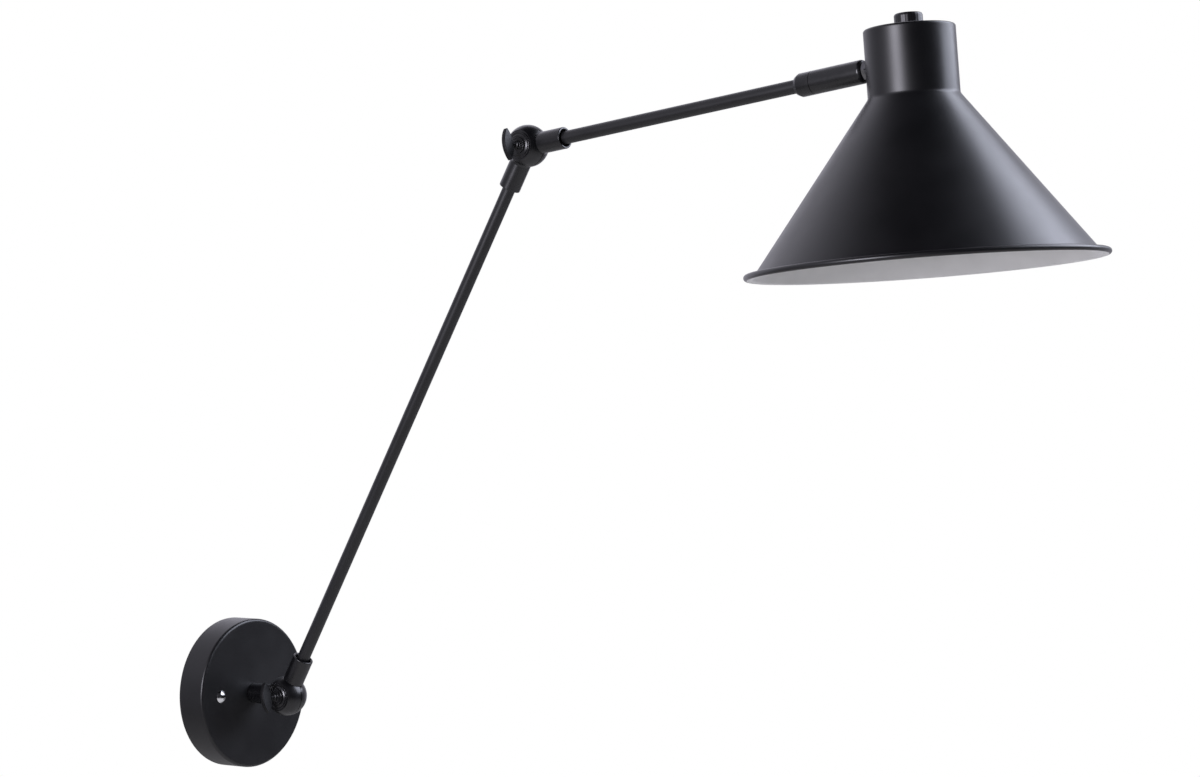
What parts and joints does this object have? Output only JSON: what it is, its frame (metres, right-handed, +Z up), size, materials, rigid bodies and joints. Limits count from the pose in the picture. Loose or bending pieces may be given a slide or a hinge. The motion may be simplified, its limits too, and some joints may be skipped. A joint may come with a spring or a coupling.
{
  "type": "adjustable wall lamp",
  "caption": "Wall lamp with a round canopy, tubular arms joined by ball knuckles with wing screws, and a conical shade that swivels on the end of the upper arm.",
  "frame": {"origin": "centre of the canopy's back, in the wall's plane, midway between the two wall-screw slots", "axes": "+Z is up; the lamp stands out from the wall towards -Y, so +Y points into the wall; both arms lie in the plane X = 0, the knuckles hinge about X and the wing screws are on the -X side"},
  "size_m": [0.253, 0.7862, 0.566],
  "materials": {
    "black_satin": "satin",
    "shade_coat": "satin",
    "black_joint": "satin",
    "wing_black": "satin",
    "zinc": "satin",
    "chrome": "polished",
    "brass": "polished",
    "fibre": "matte",
    "white_plastic": "matte",
    "phenolic": "gloss",
    "porcelain": "gloss"
  },
  "bodies": {
    "wall_mount": {"wall_bracket": "zinc", "terminal_block": "white_plastic", "terminal_screws": "brass", "block_screw": "zinc", "earth_screw": "brass", "canopy": "black_satin", "canopy_screws": "chrome", "stem_nipple": "zinc", "stem_washer": "zinc", "stem_locknut": "zinc", "base_knuckle_wall_half": "black_joint", "base_cup_washer": "wing_black"},
    "base_wing": {"base_wing_screw": "wing_black"},
    "lower_arm": {"base_knuckle_arm_half": "black_joint", "base_friction_disc": "fibre", "lower_arm_tube": "black_satin", "elbow_knuckle_lower_half": "black_joint", "elbow_cup_washer": "wing_black"},
    "elbow_wing": {"elbow_wing_screw": "wing_black"},
    "upper_arm": {"elbow_knuckle_upper_half": "black_joint", "elbow_friction_disc": "fibre", "upper_arm_tube": "black_satin", "swivel_cap": "black_joint", "swivel_spindle": "zinc", "swivel_wave_washer": "zinc", "swivel_retaining_nut": "zinc", "swivel_stop_pin": "zinc"},
    "shade_head": {"swivel_sleeve": "black_joint", "sleeve_end_cap": "black_joint", "shade_nipple": "zinc", "shade_outer_nut": "zinc", "shade_toothed_washer": "zinc", "shade_inner_washer": "zinc", "shade_inner_nut": "zinc", "shade": "shade_coat", "top_knob": "black_joint", "holder_nipple": "zinc", "holder_locknut": "zinc", "lampholder_cap": "phenolic", "lampholder_skirt": "phenolic", "lampholder_core": "porcelain", "lampholder_screw_shell": "brass", "lampholder_contact": "brass", "lampholder_terminal_screws": "brass"}
  },
  "joints": [
    {"name": "base_knuckle", "type": "hinge", "parent": "wall_mount", "child": "lower_arm", "pos_m": [0, -0.061, 0], "axis": [-1, 0, 0], "range_deg": [-149.8, 30.2]},
    {"name": "base_wing_turn", "type": "hinge", "parent": "wall_mount", "child": "base_wing", "pos_m": [0, -0.061, 0], "axis": [-1, 0, 0], "range_deg": [0, 180]},
    {"name": "elbow_knuckle", "type": "hinge", "parent": "lower_arm", "child": "upper_arm", "pos_m": [0, -0.311, 0.42954], "axis": [-1, 0, 0], "range_deg": [-63, 168]},
    {"name": "elbow_wing_turn", "type": "hinge", "parent": "lower_arm", "child": "elbow_wing", "pos_m": [0, -0.311, 0.42954], "axis": [-1, 0, 0], "range_deg": [0, 180]},
    {"name": "shade_swivel", "type": "hinge", "parent": "upper_arm", "child": "shade_head", "pos_m": [0, -0.5696, 0.46221], "axis": [0, -0.9921, 0.1253], "range_deg": [-160, 160]}
  ]
}
